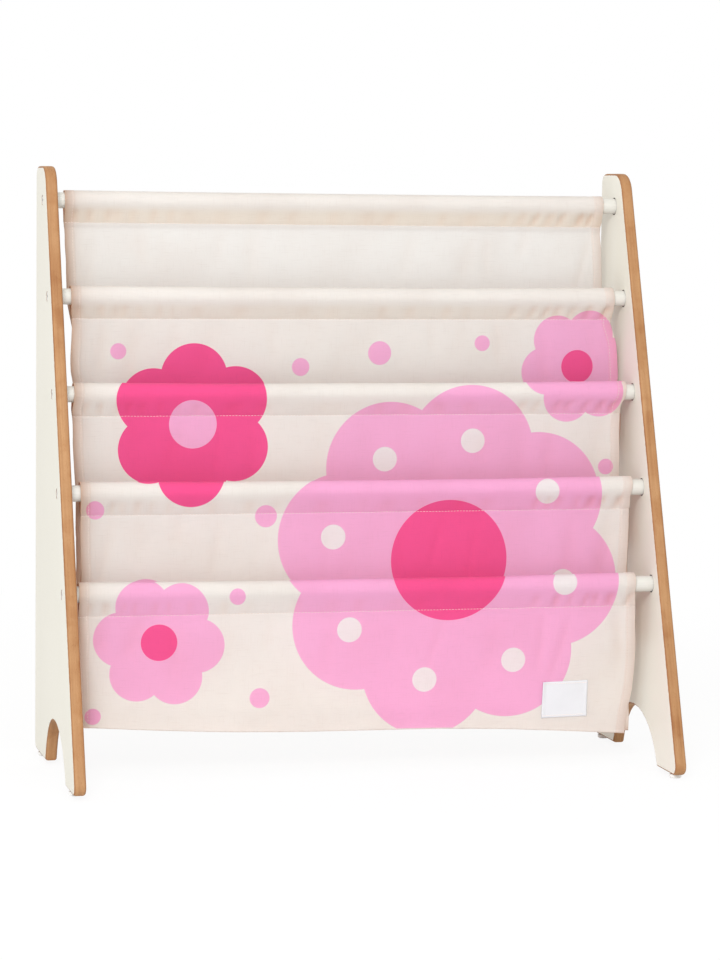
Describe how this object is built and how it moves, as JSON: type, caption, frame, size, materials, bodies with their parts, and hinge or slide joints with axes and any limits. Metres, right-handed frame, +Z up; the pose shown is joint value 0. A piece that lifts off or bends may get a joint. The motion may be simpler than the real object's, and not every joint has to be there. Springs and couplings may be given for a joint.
{
  "type": "sling bookshelf",
  "caption": "Low children's book rack: raked side panels with arched feet, round rails between them and hanging cloth pockets that show book covers.",
  "frame": {"origin": "on the floor, at the middle of the footprint", "axes": "+Z up; +X along the rails, to the right as seen from the front; +Y towards the upright rear edges, so the cloth faces -Y"},
  "size_m": [0.61, 0.27, 0.597],
  "materials": {
    "panel_paint": "satin white paint on board, bare wood-coloured edges",
    "rail_paint": "satin white paint",
    "bolt_steel": "bright zinc",
    "insert_steel": "zinc",
    "glide_plastic": "matte",
    "sling_cloth": "plain-woven canvas with a printed pattern",
    "label_cloth": "white woven tape, bare"
  },
  "bodies": {
    "root": {"side_panel_left": "panel_paint", "side_panel_right": "panel_paint", "rail_1": "rail_paint", "rail_2": "rail_paint", "rail_3": "rail_paint", "rail_4": "rail_paint", "rail_5": "rail_paint", "insert_left_1": "insert_steel", "insert_left_2": "insert_steel", "insert_left_3": "insert_steel", "insert_left_4": "insert_steel", "insert_left_5": "insert_steel", "insert_right_1": "insert_steel", "insert_right_2": "insert_steel", "insert_right_3": "insert_steel", "insert_right_4": "insert_steel", "insert_right_5": "insert_steel", "bolt_left_1": "bolt_steel", "bolt_left_2": "bolt_steel", "bolt_left_3": "bolt_steel", "bolt_left_4": "bolt_steel", "bolt_left_5": "bolt_steel", "bolt_right_1": "bolt_steel", "bolt_right_2": "bolt_steel", "bolt_right_3": "bolt_steel", "bolt_right_4": "bolt_steel", "bolt_right_5": "bolt_steel", "glide_left_front": "glide_plastic", "glide_left_rear": "glide_plastic", "glide_right_front": "glide_plastic", "glide_right_rear": "glide_plastic", "sling_1": "sling_cloth", "sling_2": "sling_cloth", "sling_3": "sling_cloth", "sling_4": "sling_cloth", "front_panel": "sling_cloth", "label_patch": "label_cloth"}
  },
  "joints": []
}
